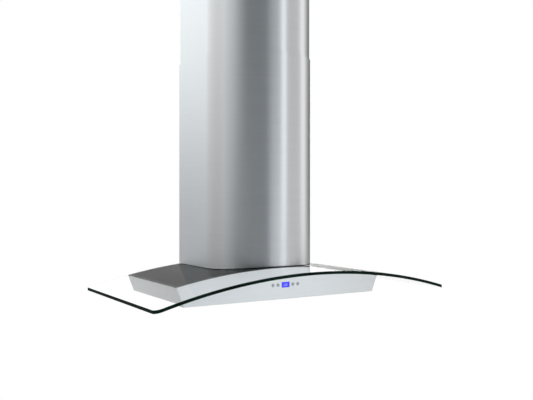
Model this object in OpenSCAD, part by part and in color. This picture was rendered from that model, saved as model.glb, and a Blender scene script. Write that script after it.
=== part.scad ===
// Range hood hung from the ceiling: arched glass canopy, thin steel body,
// telescopic chimney, blower, duct collar with back-draught flaps, baffle filters.
// Millimetres, +Z up. The origin is on the ceiling, on the axis of the duct.
// The front is towards -Y, and the glass, body and chimney end in one flat plane at the back.

/* [Overall] */
// Drop from the ceiling to the top of the glass arch
ceiling_drop = 1000; // [960:10:1060]
// Distance from the duct axis to the flat back
back_y = 140; // [138:1:150]

/* [Glass canopy] */
// Width of the glass
glass_w = 900; // [800:10:1000]
// Depth of the glass, front to back
glass_d = 500; // [450:5:600]
// Thickness of the glass
glass_t = 8; // [5:0.5:10]
// Radius of the arch at the middle of the glass
arch_r = 1600; // [1500:10:2200]
// Radius of the two front corners
glass_corner_r = 20; // [10:1:60]

/* [Canopy body] */
// Width of the body along its lower edge
body_bottom_w = 619; // [619:1:680]
// Depth of the body, front to back
body_d = 342; // [342:1:380]
// Height from the lower edge to the top of the glass arch
body_h = 85; // [80:1:110]
// Lean of the two side walls
side_lean = 22.2; // [0:0.2:30]
// Thickness of the body's sheet
sheet_t = 1.2; // [0.8:0.1:1.5]
// Width of the rim turned in under the body
rim_w = 8; // [6:1:9]

/* [Chimney] */
// Width of the lower cover
chimney_w = 333; // [333:1:345]
// Depth of the flat sides
chimney_side_d = 182; // [182:1:190]
// How far the round front stands out beyond the flat sides
chimney_bulge = 148; // [140:1:148]
// Radius of the round front next to each flat side
chimney_side_r = 130; // [120:1:135]
// Height of the lower cover's top above the glass
lower_cover_h = 603; // [560:1:640]
// Length of the upper cover, most of it in view
upper_cover_h = 554; // [500:1:560]
// Thickness of the covers
cover_t = 1; // [0.8:0.1:1]
// Step in from the lower cover to the upper one
cover_step = 2.5; // [2.5:0.1:3]

/* [Controls] */
// Height of the controls above the lower edge of the body
control_h = 39.4; // [36:0.2:42]
// Width of the display
display_w = 26; // [22:0.5:28]
// Height of the display
display_h = 15.5; // [12:0.5:18]
// Diameter of a button
button_d = 8.6; // [7:0.1:10]
// Distance from the middle to each inner button
button_in_x = 24.5; // [22:0.5:26]
// Distance from the middle to each outer button
button_out_x = 41; // [38:0.5:44]
// Travel of a button
button_travel = 1.2; // [0.8:0.1:1.2]

/* [Air path] */
// Outside diameter of the duct collar
collar_d = 149; // [147:1:150]
// Radius of the impeller
impeller_r = 62; // [56:1:62]
// Width of the impeller
impeller_w = 96; // [80:2:96]
// Number of impeller blades
blades = 30; // [18:1:36]
// Number of lower channels in each baffle filter
channels = 9; // [7:1:11]

/* [Hidden] */
$fn = 96;
eps = 0.01;

steel = "#d5d9dc";
zinc = "#a9adb0";
black_paint = "#2c2e2f";
rubber = "#1d1e1f";

// Heights. The arch's axis runs front to back, far below the hood.
glass_z = -ceiling_drop;
arch_z = glass_z - arch_r;
gasket_t = 1.5;
glass_top_r = arch_r + glass_t / 2;
glass_under_r = arch_r - glass_t / 2;
body_arch_r = glass_under_r - gasket_t;
bottom_z = glass_z - body_h;
front_y = back_y - body_d;
glass_front_y = back_y - glass_d;
panel_z = bottom_z + sheet_t;
panel_top = panel_z + sheet_t;
control_z = bottom_z + control_h;

// The support plate lies on the top of the arch, in a cut-out of the glass
plate_t = 2;
plate_z = glass_z - glass_t / 2 - gasket_t;
plate_top = plate_z + plate_t;
plate_w = 244;
plate_d = 240;
cutout_gap = 3;
intake_w = 200;
intake_d = 190;

// Chimney covers
chimney_mid_y = back_y - chimney_side_d;
chimney_front_y = chimney_mid_y - chimney_bulge;
lower_cover_top = glass_z + lower_cover_h;
upper_cover_top = -3;
back_return = 14;
back_screw_in = 8;
back_screw_zs = [25, 225];
back_screw_r = 1.55;
cover_gap = 0.8;

// Frame of four angle posts in each half, one inside the other
post_leg = 25;
post_t = 2;
post_gap = 0.3;
lower_post_x = 120;
lower_post_y = 115;
upper_post_x = lower_post_x - post_t - post_gap;
upper_post_y = lower_post_y - post_t - post_gap;
lower_post_top = glass_z + 520;
upper_post_bottom = -640;
foot_w = 23;
bracket_t = 2.5;
tie_h = 20;

// Ceiling bracket
anchor_x = 125;
anchor_y = 75;
anchor_r = 4.25;
duct_hole_r = 111;

// Blower
box_x = 110;
box_y = 105;
box_top = plate_top + 290;
fan_y = -20;
fan_z = plate_top + 122;
scroll_turn = 235;
scroll_start = impeller_r + 6;
scroll_end = impeller_r + 28;
volute_x = 59;
inlet_r = 50;
shaft_r = 4;
shaft_run = 0.05;

// Collar and flaps
collar_r = collar_d / 2;
collar_wall = 1.5;
collar_z = box_top;
collar_h = 60;
rod_z = collar_z + 18;
rod_r = 1.5;
flap_r = collar_r - collar_wall - 2;

// Filters
filter_in = 10.5;
filter_w = 275;
filter_d = 257;
filter_h = 20;
filter_y0 = -132;
filter_gap = 2.5;
hinge_y = 121;
hinge_z = panel_z + 6.8;
hinge_r = 2;
ear_t = 2;

// Lamps
lamp_x = 200;
lamp_y = -165;
lamp_r = 27;

// --- Shared shapes -----------------------------------------------------------

// Radius of the chimney's front arc, tangent to the two side arcs
side_cx = chimney_w / 2 - chimney_side_r;
front_r = (side_cx * side_cx + pow(chimney_bulge, 2) - pow(chimney_side_r, 2))
    / (2 * (chimney_bulge - chimney_side_r));
front_cy = chimney_front_y + front_r;
arc_drop = front_cy - chimney_mid_y;

// A solid cylinder lying front to back on the arch's axis
module arch(r) {
    translate([0, back_y + 50, arch_z])
        rotate([90, 0, 0])
        cylinder(r = r, h = 700, $fn = 1440);
}

// The same under a cover, cut in short flats that stay within 0.04 of the curve
module arch_under_cover(r) {
    reach = 180;
    step = 20;
    translate([0, back_y + 50, 0])
        rotate([90, 0, 0])
        linear_extrude(700)
        polygon(concat([for (x = [-reach:step:reach]) [x, arch_z + sqrt(r * r - x * x)]],
            [[reach, glass_z - 60], [-reach, glass_z - 60]]));
}

// Plan of the chimney, with its wall set in
module chimney_plan(inset) {
    reach = chimney_w;
    translate([-chimney_w / 2 + inset, chimney_mid_y])
        square([chimney_w - 2 * inset, chimney_side_d - inset]);
    for (s = [-1, 1])
        translate([s * side_cx, chimney_mid_y])
            circle(r = chimney_side_r - inset, $fn = 192);
    intersection() {
        translate([0, front_cy])
            circle(r = front_r - inset, $fn = 288);
        polygon([[0, front_cy], [reach, front_cy - reach * arc_drop / side_cx],
            [0, front_cy - 3 * reach], [-reach, front_cy - reach * arc_drop / side_cx]]);
    }
}

// The wall of a cover: sides and round front, with two returns at the back
module cover_wrap(inset, z0, z1) {
    translate([0, 0, z0])
        linear_extrude(z1 - z0)
        difference() {
            chimney_plan(inset);
            chimney_plan(inset + cover_t);
            translate([-chimney_w / 2 + inset + back_return, back_y - 20])
                square([chimney_w - 2 * inset - 2 * back_return, 40]);
        }
}

// The flat panel that closes a cover's back, held behind the returns
module cover_back(inset, z0, z1) {
    half = chimney_w / 2 - inset - cover_t - 0.2;
    translate([-half, back_y - inset - 2 * cover_t, z0])
        cube([2 * half, cover_t, z1 - z0]);
}

// The body's block between two heights, its walls set in
module body_block(inset, z0, z1, y0, y1) {
    lean = tan(side_lean);
    low = body_bottom_w / 2 - inset / cos(side_lean) + lean * (z0 - bottom_z);
    high = low + lean * (z1 - z0);
    translate([0, y1, 0])
        rotate([90, 0, 0])
        linear_extrude(y1 - y0)
        polygon([[-low, z0], [low, z0], [high, z1], [-high, z1]]);
}

// A box between two opposite corners
module span(a, b) {
    low = [for (i = [0:2]) min(a[i], b[i])];
    high = [for (i = [0:2]) max(a[i], b[i])];
    translate(low)
        cube(high - low);
}

// Four copies in the corners of a rectangle
module corners(x, y) {
    for (sx = [-1, 1])
        for (sy = [-1, 1])
            translate([sx * x, sy * y, 0])
                children();
}

// An angle post with its outer corner at x, y
module post(sx, sy, x, y, z0, z1, leg) {
    span([sx * x, sy * y, z0], [sx * (x - leg), sy * (y - post_t), z1]);
    span([sx * x, sy * y, z0], [sx * (x - post_t), sy * (y - leg), z1]);
}

// A pan-head screw with its head's under side at the origin, pointing down
module screw(head_r, head_h, r, length) {
    cylinder(r = head_r, h = head_h, $fn = 24);
    translate([0, 0, -length])
        cylinder(r = r, h = length + eps, $fn = 24);
}

// --- Ceiling side ------------------------------------------------------------

module ceiling_bracket() {
    lip_x = chimney_w / 2 - cover_step - cover_t - 0.2;
    lip_h = 25;
    plate_back = back_y - cover_step - 2 * cover_t - 0.2;
    plate_front = -120;
    color(zinc)
    difference() {
        union() {
            translate([0, 0, -bracket_t])
                linear_extrude(bracket_t)
                intersection() {
                    chimney_plan(cover_step + cover_t + 0.2);
                    translate([-chimney_w, plate_front])
                        square([2 * chimney_w, plate_back - plate_front]);
                }
            for (s = [-1, 1])
                span([s * lip_x, chimney_mid_y + 2, -lip_h],
                    [s * (lip_x - 2), plate_back, -bracket_t + eps]);
            span([-lip_x + 20, plate_back - 2, -lip_h], [lip_x - 20, plate_back, -bracket_t + eps]);
        }
        translate([0, 0, -5])
            cylinder(r = duct_hole_r, h = 10, $fn = 180);
        translate([0, 0, -5])
            corners(anchor_x, anchor_y)
            cylinder(r = anchor_r, h = 10, $fn = 48);
        translate([0, 0, -5])
            corners(upper_post_x - 12, upper_post_y - 12)
            cylinder(r = 3.2, h = 10, $fn = 32);
        for (s = [-1, 1])
            for (y = [0, 100])
                translate([s * lip_x, y, -15])
                    rotate([0, 90, 0])
                    cylinder(r = 2.1, h = 10, center = true, $fn = 24);
    }
}

module upper_posts() {
    color(zinc)
    difference() {
        for (sx = [-1, 1])
            for (sy = [-1, 1]) {
                post(sx, sy, upper_post_x, upper_post_y, upper_post_bottom, -bracket_t, foot_w);
                span([sx * upper_post_x, sy * upper_post_y, -bracket_t - post_t],
                    [sx * (upper_post_x - foot_w), sy * (upper_post_y - foot_w), -bracket_t]);
            }
        translate([0, 0, -12])
            corners(upper_post_x - 12, upper_post_y - 12)
            cylinder(r = 3.2, h = 20, $fn = 32);
    }
}

module bracket_bolts() {
    color(zinc)
    corners(upper_post_x - 12, upper_post_y - 12)
        translate([0, 0, -bracket_t - 2])
        rotate([180, 0, 0])
        screw(5, 4, 3, 4);
}

module upper_ties() {
    x = upper_post_x - post_t;
    y = upper_post_y - post_t;
    z = upper_post_bottom + 60;
    short = post_t + 0.2;
    color(zinc)
    for (s = [-1, 1]) {
        span([-x + short, s * y, z], [x - short, s * (y - post_t), z + tie_h]);
        span([s * x, -y + short, z], [s * (x - post_t), y - short, z + tie_h]);
    }
}

module upper_cover() {
    color(steel)
    difference() {
        cover_wrap(cover_step, upper_cover_top - upper_cover_h, upper_cover_top);
        for (s = [-1, 1])
            for (y = [0, 100])
                translate([s * (chimney_w / 2 - cover_step), y, -15])
                    rotate([0, 90, 0])
                    cylinder(r = 2.1, h = 10, center = true, $fn = 24);
    }
}

module upper_cover_back() {
    color(steel)
    cover_back(cover_step, upper_cover_top - upper_cover_h, upper_cover_top);
}

module upper_cover_screws() {
    color(zinc)
    for (s = [-1, 1])
        for (y = [0, 100])
            translate([s * (chimney_w / 2 - cover_step), y, -15])
                rotate([0, s * 90, 0])
                screw(3.8, 2, 2, 8);
}

// --- Frame and covers of the hood ---------------------------------------------

module lower_posts() {
    color(zinc)
    difference() {
        for (sx = [-1, 1])
            for (sy = [-1, 1])
                post(sx, sy, lower_post_x, lower_post_y, plate_top, lower_post_top, post_leg);
        for (s = [-1, 1])
            for (y = [-104, 104])
                for (z = [-40, -70])
                    translate([s * lower_post_x, y, lower_post_top + z])
                        rotate([0, 90, 0])
                        cylinder(r = 3, h = 10, center = true, $fn = 32);
    }
}

module lower_ties() {
    x = lower_post_x;
    y = lower_post_y;
    color(zinc)
    for (z = [lower_post_top - tie_h, plate_top + 310])
        for (s = [-1, 1]) {
            span([-x - post_t, s * y, z], [x + post_t, s * (y + post_t), z + tie_h]);
            span([s * x, -y + 0.2, z], [s * (x + post_t), y - 0.2, z + tie_h]);
        }
}

module clamp_screws() {
    color(zinc)
    for (s = [-1, 1])
        for (y = [-104, 104])
            for (z = [-40, -70])
                translate([s * lower_post_x, y, lower_post_top + z])
                    rotate([0, s * 90, 0])
                    screw(5, 4, 3, post_t);
}

module lower_cover() {
    color(steel)
    difference() {
        cover_wrap(0, glass_z - 30, lower_cover_top);
        arch_under_cover(glass_top_r + cover_gap);
        for (s = [-1, 1])
            for (z = back_screw_zs)
                translate([s * (chimney_w / 2 - back_screw_in), back_y, glass_z + z])
                    rotate([90, 0, 0])
                    cylinder(r1 = 3.6, r2 = 1.6, h = 2 * cover_t, center = true, $fn = 32);
    }
}

module lower_cover_back() {
    color(steel)
    difference() {
        cover_back(0, glass_z - 30, lower_cover_top);
        arch_under_cover(glass_top_r + cover_gap);
        for (s = [-1, 1])
            for (z = back_screw_zs)
                translate([s * (chimney_w / 2 - back_screw_in), back_y, glass_z + z])
                    rotate([90, 0, 0])
                    cylinder(r = 1.6, h = 10, center = true, $fn = 24);
    }
}

// Countersunk screws that hold the back panel to the returns
module lower_cover_screws() {
    color(zinc)
    for (s = [-1, 1])
        for (z = back_screw_zs)
            translate([s * (chimney_w / 2 - back_screw_in), back_y - 0.05, glass_z + z])
                rotate([90, 0, 0]) {
                    cylinder(r1 = 2.45, r2 = back_screw_r, h = 1, $fn = 32);
                    cylinder(r = back_screw_r, h = 5, $fn = 24);
                }
}

// Clips between the posts and the lower cover's two sides
module cover_clips() {
    wall_x = chimney_w / 2 - cover_t - 0.1;
    post_x = lower_post_x + 0.1;
    clip_z = plate_top + 18;
    tab_h = 24;
    color(zinc)
    for (s = [-1, 1]) {
        span([s * post_x, 60, clip_z], [s * wall_x, 95, clip_z + post_t]);
        span([s * wall_x, 60, clip_z], [s * (wall_x - post_t), 95, clip_z + tab_h]);
        span([s * post_x, 60, clip_z], [s * (post_x + post_t), 95, clip_z + tab_h]);
    }
}

// --- Glass canopy --------------------------------------------------------------

screw_x = 142;
screw_ys = [-50, 115];

module glass_plan() {
    r = glass_corner_r;
    translate([-glass_w / 2, glass_front_y + r])
        square([glass_w, glass_d - r]);
    translate([-glass_w / 2 + r, glass_front_y])
        square([glass_w - 2 * r, glass_d]);
    for (s = [-1, 1])
        translate([s * (glass_w / 2 - r), glass_front_y + r])
            circle(r = r, $fn = 144);
}

module glass_canopy() {
    color("#8fb5ad", 0.35)
    difference() {
        intersection() {
            difference() {
                arch(glass_top_r);
                arch(glass_under_r);
            }
            translate([0, 0, glass_z - 120])
                linear_extrude(150)
                glass_plan();
        }
        span([-plate_w / 2 - cutout_gap, -plate_d / 2 - cutout_gap, glass_z - 60],
            [plate_w / 2 + cutout_gap, plate_d / 2 + cutout_gap, glass_z + 60]);
        for (s = [-1, 1])
            for (y = screw_ys)
                translate([s * screw_x, y, glass_z - 60])
                    cylinder(r = 5, h = 120, $fn = 48);
    }
}

// Foam strip between the body and the glass
module glass_gasket() {
    width = 9;
    color(rubber)
    intersection() {
        difference() {
            arch(glass_under_r - 0.01);
            arch(body_arch_r);
        }
        difference() {
            body_block(0.1, bottom_z, glass_z, front_y + 0.1, back_y - 0.1);
            body_block(width, bottom_z - 1, glass_z + 1, front_y + width, back_y - width);
        }
    }
}

// Rubber bushes in the four holes of the glass
module glass_bushes() {
    sink = screw_x * screw_x / (2 * arch_r);
    color(rubber)
    for (s = [-1, 1])
        for (y = screw_ys)
            translate([s * screw_x, y, glass_z - sink])
                difference() {
                    union() {
                        translate([0, 0, -glass_t / 2 - gasket_t - 0.5])
                            cylinder(r = 4.6, h = glass_t + gasket_t + 1.5, $fn = 48);
                        translate([0, 0, glass_t / 2 + 0.9])
                            cylinder(r = 8.5, h = 1.5, $fn = 48);
                    }
                    translate([0, 0, -10])
                        cylinder(r = 2.6, h = 20, $fn = 32);
                    translate([-s * screw_x, -y, sink - glass_z])
                        arch(body_arch_r + 0.3);
                }
}

module glass_screws() {
    sink = screw_x * screw_x / (2 * arch_r);
    color(zinc)
    for (s = [-1, 1])
        for (y = screw_ys)
            translate([s * screw_x, y, glass_z - sink + glass_t / 2 + 2.4])
                screw(5, 3, 2.4, 20);
}

// --- Canopy body ----------------------------------------------------------------

// Places a child at each button's centre on the front wall's outer face
module at_buttons(margin) {
    for (x = [-button_out_x, -button_in_x, button_in_x, button_out_x])
        translate([x, front_y + margin, control_z])
            rotate([-90, 0, 0])
            children();
}

module canopy_shell() {
    inner_y = front_y + sheet_t;
    color(steel)
    difference() {
        intersection() {
            difference() {
                body_block(0, bottom_z, glass_z, front_y, back_y - sheet_t - 0.1);
                body_block(sheet_t, panel_z, glass_z + 1, inner_y, back_y + 1);
                body_block(rim_w, bottom_z - 1, glass_z + 1, front_y + rim_w, back_y + 1);
            }
            arch(body_arch_r);
        }
        at_buttons(-5)
            cylinder(r = button_d / 2 + 0.3, h = 10, $fn = 48);
        span([-display_w / 2, front_y - 5, control_z - display_h / 2],
            [display_w / 2, front_y + 5, control_z + display_h / 2]);
    }
}

// Back wall, with a flange that clears the filters' rear edges as they tilt
module canopy_back() {
    flange_w = 10;
    color(steel)
    intersection() {
        union() {
            body_block(0, bottom_z, glass_z, back_y - sheet_t, back_y);
            body_block(sheet_t + 0.2, panel_top + 0.2, panel_top + 1.4,
                back_y - flange_w, back_y - sheet_t + eps);
        }
        arch(body_arch_r);
    }
}

module canopy_top() {
    color(black_paint)
    difference() {
        intersection() {
            difference() {
                arch(body_arch_r - 0.05);
                arch(body_arch_r - sheet_t);
            }
            body_block(sheet_t + 0.1, bottom_z, glass_z, front_y + sheet_t + 0.1,
                back_y - sheet_t - 0.2);
        }
        span([-intake_w / 2, -intake_d / 2, glass_z - 60],
            [intake_w / 2, intake_d / 2, glass_z + 60]);
        for (s = [-1, 1])
            for (y = screw_ys)
                translate([s * screw_x, y, glass_z - 60])
                    cylinder(r = 2.6, h = 120, $fn = 32);
        translate([0, cable_y, glass_z - 60])
            cylinder(r = 4.2, h = 120, $fn = 32);
    }
}

// Steel plate across the glass's cut-out, which carries the posts and the blower
module support_plate() {
    color(zinc)
    difference() {
        span([-plate_w / 2, -plate_d / 2, plate_z - 8], [plate_w / 2, plate_d / 2, plate_top]);
        span([-plate_w / 2 + 2, -plate_d, plate_z - 20], [plate_w / 2 - 2, plate_d, plate_z]);
        arch(body_arch_r);
        span([-intake_w / 2, -intake_d / 2, plate_z - 20],
            [intake_w / 2, intake_d / 2, plate_z + 20]);
        translate([0, cable_y, plate_z - 20])
            cylinder(r = 4.2, h = 40, $fn = 32);
    }
}

// Under-side panel with the filter openings, lamp holes and hinge ears
module bottom_panel() {
    open_x = filter_in - filter_gap;
    open_w = filter_w + 2 * filter_gap;
    color(steel)
    difference() {
        union() {
            difference() {
                body_block(sheet_t + 0.1, panel_z, panel_top, front_y + sheet_t + 0.1,
                    back_y - sheet_t - 0.2);
                for (s = [-1, 1]) {
                    span([s * open_x, filter_y0 - 2, panel_z - 5],
                        [s * (open_x + open_w), hinge_y + 9, panel_top + 5]);
                    translate([s * lamp_x, lamp_y, panel_z - 5])
                        cylinder(r = lamp_r - 3, h = 10, $fn = 72);
                }
            }
            for (x = [open_x - ear_t - 0.2, open_x + open_w + 0.2])
                for (s = [-1, 1])
                    span([s * x, hinge_y - 6, panel_z], [s * (x + ear_t), hinge_y + 6, hinge_z + 5]);
        }
        translate([0, hinge_y, hinge_z])
            rotate([0, 90, 0])
            cylinder(r = hinge_r + shaft_run, h = 700, center = true, $fn = 48);
    }
}

// --- Controls -------------------------------------------------------------------

housing_x = 58;
housing_z = 13;
guide_y = front_y + 6.6;
guide_t = 4.4;
board_y = front_y + 18;
cable_y = -117;
stem_r = 3;

module control_housing() {
    color(black_paint)
    difference() {
        span([-housing_x, front_y + sheet_t + 0.1, control_z - housing_z],
            [housing_x, board_y - 0.1, control_z + housing_z]);
        span([-housing_x + 3, front_y, control_z - housing_z + 3],
            [housing_x - 3, guide_y, control_z + housing_z - 3]);
        span([-housing_x + 3, guide_y + guide_t, control_z - housing_z + 3],
            [housing_x - 3, board_y + 1, control_z + housing_z - 3]);
        span([-17.6, guide_y - 1, control_z - 9.6], [17.6, guide_y + guide_t + 1, control_z + 9.6]);
        at_buttons(0)
            cylinder(r = stem_r + shaft_run, h = 15, $fn = 48);
    }
}

module control_board() {
    color("#2f6b45")
    span([-housing_x, board_y, control_z - housing_z],
        [housing_x, board_y + 1.6, control_z + housing_z]);
}

module tact_switches() {
    color("#26282a")
    at_buttons(board_y - front_y - 3.8)
        translate([-3, -3, 0])
        cube([6, 6, 3.8]);
}

module lcd_module() {
    color("#2a3be0")
    span([-17, front_y + sheet_t + 0.8, control_z - 9], [17, board_y - 2, control_z + 9]);
}

module display_window() {
    color("#5a6cf0", 0.6)
    span([-display_w / 2 + 0.15, front_y + 0.2, control_z - display_h / 2 + 0.15],
        [display_w / 2 - 0.15, front_y + sheet_t + 0.7, control_z + display_h / 2 - 0.15]);
}

// A button: round cap through the front wall, stem in the housing's guide
module button(x) {
    proud = 1.2;
    color(steel)
    translate([x, front_y, control_z])
        rotate([-90, 0, 0])
        union() {
            translate([0, 0, -proud])
                cylinder(r = button_d / 2, h = proud + 5, $fn = 48);
            cylinder(r = stem_r, h = board_y - front_y - 3.8 - button_travel - 0.1, $fn = 48);
        }
}

module button_light() { button(-button_out_x); }
module button_less() { button(-button_in_x); }
module button_more() { button(button_in_x); }
module button_power() { button(button_out_x); }

// Flat run from the board to the junction box, with one bend
module control_cable() {
    r = 2.5;
    bend = 14;
    z = control_z + 4;
    color(rubber)
    union() {
        translate([0, board_y + 1.7, z])
            rotate([-90, 0, 0])
            cylinder(r = r, h = cable_y - bend - board_y - 1.7, $fn = 24);
        translate([0, cable_y - bend, z + bend])
            rotate([90, 0, 90])
            rotate([0, 0, -90])
            rotate_extrude(angle = 90, $fn = 96)
            translate([bend, 0])
            circle(r = r, $fn = 24);
        translate([0, cable_y, z + bend])
            cylinder(r = r, h = jbox_z - z - bend - 0.1, $fn = 24);
    }
}

module cable_grommet() {
    color(rubber)
    translate([0, cable_y, plate_top - 3.2])
        difference() {
            union() {
                cylinder(r = 4.1, h = 3.5, $fn = 32);
                translate([0, 0, 3.2])
                    cylinder(r = 6, h = 1.8, $fn = 32);
            }
            translate([0, 0, -1])
                cylinder(r = 2.55, h = 10, $fn = 32);
        }
}

// --- Blower ---------------------------------------------------------------------

// Sheet box round the volute, open below
module blower_box() {
    t = 1;
    color(zinc)
    difference() {
        span([-box_x, -box_y, plate_top], [box_x, box_y, box_top]);
        span([-box_x + t, -box_y + t, plate_top - 1], [box_x - t, box_y - t, box_top - t]);
        translate([0, 0, box_top - 5])
            cylinder(r = collar_r - collar_wall - 1, h = 10, $fn = 120);
    }
}

function scroll_point(a, grow) =
    let(r = scroll_end + (scroll_start - scroll_end) * a / scroll_turn + grow)
    [r * cos(a), -r * sin(a)];

// Outline of the scroll and its throat, from the outlet wall round to the tongue
module scroll_plan(grow, top) {
    tongue = scroll_point(scroll_turn, 0);
    polygon(concat(
        [for (a = [0:5:scroll_turn]) scroll_point(a, grow)],
        [[tongue[0] - grow, top], [scroll_end + grow, top]]));
}

module volute() {
    wall = 1.2;
    top = box_top - 1.2 - fan_z;
    color("#c9ccce")
    translate([0, fan_y, fan_z])
        difference() {
            rotate([90, 0, 90])
                translate([0, 0, -volute_x])
                linear_extrude(2 * volute_x)
                scroll_plan(wall, top);
            rotate([90, 0, 90])
                translate([0, 0, -volute_x + wall])
                linear_extrude(2 * (volute_x - wall))
                scroll_plan(0, top + 5);
            rotate([0, 90, 0])
                cylinder(r = inlet_r, h = 4 * volute_x, center = true, $fn = 96);
        }
}

module impeller() {
    half = impeller_w / 2;
    blade_l = 12;
    color(zinc)
    translate([0, fan_y, fan_z])
        rotate([0, 90, 0])
        difference() {
            union() {
                cylinder(r = impeller_r - 1, h = 1.6, center = true, $fn = 96);
                translate([0, 0, -12])
                    cylinder(r = 10, h = 16, $fn = 48);
                for (i = [0:blades - 1])
                    rotate([0, 0, i * 360 / blades])
                        translate([impeller_r - blade_l / 2 - 0.8, 0, 0])
                        rotate([0, 0, 25])
                        cube([blade_l, 1, impeller_w - 2], center = true);
                for (s = [-1, 1])
                    translate([0, 0, s * (half - 1.5)])
                        difference() {
                            cylinder(r = impeller_r, h = 3, center = true, $fn = 96);
                            cylinder(r = impeller_r - 11, h = 5, center = true, $fn = 96);
                        }
            }
            cylinder(r = shaft_r, h = 60, center = true, $fn = 48);
        }
}

module motor_shaft() {
    color(steel)
    translate([-14, fan_y, fan_z])
        rotate([0, 90, 0])
        cylinder(r = shaft_r, h = 72, $fn = 48);
}

module motor() {
    color("#4a4d50")
    translate([6, fan_y, fan_z])
        rotate([0, 90, 0])
        difference() {
            union() {
                cylinder(r = 38, h = 40, $fn = 96);
                translate([0, 0, -1.5])
                    cylinder(r = 12, h = 45, $fn = 48);
            }
            translate([0, 0, -5])
                cylinder(r = shaft_r + shaft_run, h = 60, $fn = 48);
        }
}

// Three stepped arms from the motor's end to the volute's side
module motor_bracket() {
    color(zinc)
    translate([46.1, fan_y, fan_z])
        rotate([0, 90, 0])
        difference() {
            union() {
                cylinder(r = 34, h = 2, $fn = 96);
                for (a = [0, 120, 240])
                    rotate([0, 0, a]) {
                        translate([20, -6, 0])
                            cube([27, 12, 2]);
                        translate([45, -6, 0])
                            cube([2, 12, 15]);
                        translate([45, -6, 13])
                            cube([17, 12, 2]);
                    }
            }
            translate([0, 0, -1])
                cylinder(r = 13, h = 5, $fn = 48);
        }
}

module outlet_collar() {
    color("#3a3c3e")
    difference() {
        union() {
            translate([0, 0, collar_z])
                cylinder(r = collar_r + 12, h = 2, $fn = 144);
            translate([0, 0, collar_z])
                cylinder(r = collar_r, h = collar_h, $fn = 144);
        }
        difference() {
            translate([0, 0, collar_z - 1])
                cylinder(r = collar_r - collar_wall, h = collar_h + 2, $fn = 144);
            for (sx = [-1, 1])
                for (sy = [-1, 1])
                    span([sx * 40, sy * 50, rod_z - 6.5], [sx * 48, sy * 70, rod_z - 2.3]);
        }
        translate([0, 0, rod_z])
            rotate([90, 0, 0])
            cylinder(r = rod_r, h = 2 * collar_d, center = true, $fn = 32);
    }
}

module damper_rod() {
    color(steel)
    translate([0, 0, rod_z])
        rotate([90, 0, 0])
        cylinder(r = rod_r, h = collar_d - 0.4, center = true, $fn = 32);
}

// Half-round flap with two knuckles on the rod; side is -1 or 1
module damper(side) {
    knuckle_r = 3;
    knuckle_l = 14;
    color("#3a3c3e")
    difference() {
        union() {
            intersection() {
                translate([0, 0, rod_z - knuckle_r + 1])
                    cylinder(r = flap_r, h = 1.2, $fn = 144);
                span([side * 1.9, -90, rod_z - 10], [side * 90, 90, rod_z + 10]);
            }
            for (y = [side > 0 ? -45 : -29, side > 0 ? 15 : 31])
                translate([0, y, rod_z])
                    rotate([-90, 0, 0])
                    cylinder(r = knuckle_r, h = knuckle_l, $fn = 48);
        }
        translate([0, 0, rod_z])
            rotate([90, 0, 0])
            cylinder(r = rod_r + shaft_run, h = 200, center = true, $fn = 48);
        for (y = [side > 0 ? -29.5 : -45.5, side > 0 ? 30.5 : 14.5])
            span([-knuckle_r - 1, y, rod_z - 5], [knuckle_r + 1, y + knuckle_l + 1, rod_z + 5]);
    }
}

module damper_left() { damper(-1); }
module damper_right() { damper(1); }

// --- Electrics ------------------------------------------------------------------

jbox_x = 45;
jbox_y = -box_y - 0.1;
jbox_d = 34;
jbox_z = plate_top + 100;
jbox_h = 80;
gland_y = -126;

module junction_box() {
    t = 2;
    color("#d8d8d2")
    difference() {
        span([-jbox_x, jbox_y - jbox_d, jbox_z], [jbox_x, jbox_y, jbox_z + jbox_h]);
        span([-jbox_x + t, jbox_y - jbox_d - 1, jbox_z + t],
            [jbox_x - t, jbox_y - t, jbox_z + jbox_h - t]);
        translate([0, gland_y, jbox_z + jbox_h - 5])
            cylinder(r = 8, h = 10, $fn = 48);
        translate([0, cable_y, jbox_z - 1])
            cylinder(r = 2.6, h = 5, $fn = 32);
    }
}

module junction_box_lid() {
    color("#c8c8c2")
    span([-jbox_x, jbox_y - jbox_d - 2.1, jbox_z], [jbox_x, jbox_y - jbox_d - 0.1, jbox_z + jbox_h]);
}

// Cable gland on top of the junction box, for the mains cable from the ceiling
module cable_gland() {
    z = jbox_z + jbox_h;
    color("#26282a")
    difference() {
        union() {
            translate([0, gland_y, z - 6])
                cylinder(r = 8, h = 10, $fn = 48);
            translate([0, gland_y, z])
                cylinder(r = 11, h = 6, $fn = 6);
            translate([0, gland_y, z + 5])
                cylinder(r = 9, h = 13, $fn = 48);
        }
        translate([0, gland_y, z - 10])
            cylinder(r = 4.2, h = 40, $fn = 48);
    }
}

module capacitor() {
    color("#e4e4de")
    translate([lower_post_x + 8, 20, plate_top + 120])
        cylinder(r = 16, h = 55, $fn = 64);
    color(zinc)
    span([box_x + 0.1, 10, plate_top + 112], [lower_post_x + 8, 30, plate_top + 120]);
}

// --- Lamps ----------------------------------------------------------------------

module at_lamps() {
    for (s = [-1, 1])
        translate([s * lamp_x, lamp_y, 0])
            children();
}

module lamp_bezels() {
    color("#e8eaec")
    at_lamps()
        difference() {
            translate([0, 0, panel_z - 1.1])
                cylinder(r = lamp_r, h = 1.05, $fn = 96);
            translate([0, 0, panel_z - 3])
                cylinder(r = lamp_r - 6, h = 6, $fn = 96);
        }
}

module lamp_lenses() {
    color("#f4f6f8", 0.8)
    at_lamps()
        translate([0, 0, panel_z - 0.7])
        cylinder(r = lamp_r - 6.2, h = 2.6, $fn = 96);
}

module lamp_housings() {
    color(black_paint)
    at_lamps()
        difference() {
            translate([0, 0, panel_z])
                cylinder(r = lamp_r - 3.2, h = 26, $fn = 96);
            translate([0, 0, panel_z - 1])
                cylinder(r = lamp_r - 5.2, h = 22, $fn = 96);
        }
}

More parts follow.
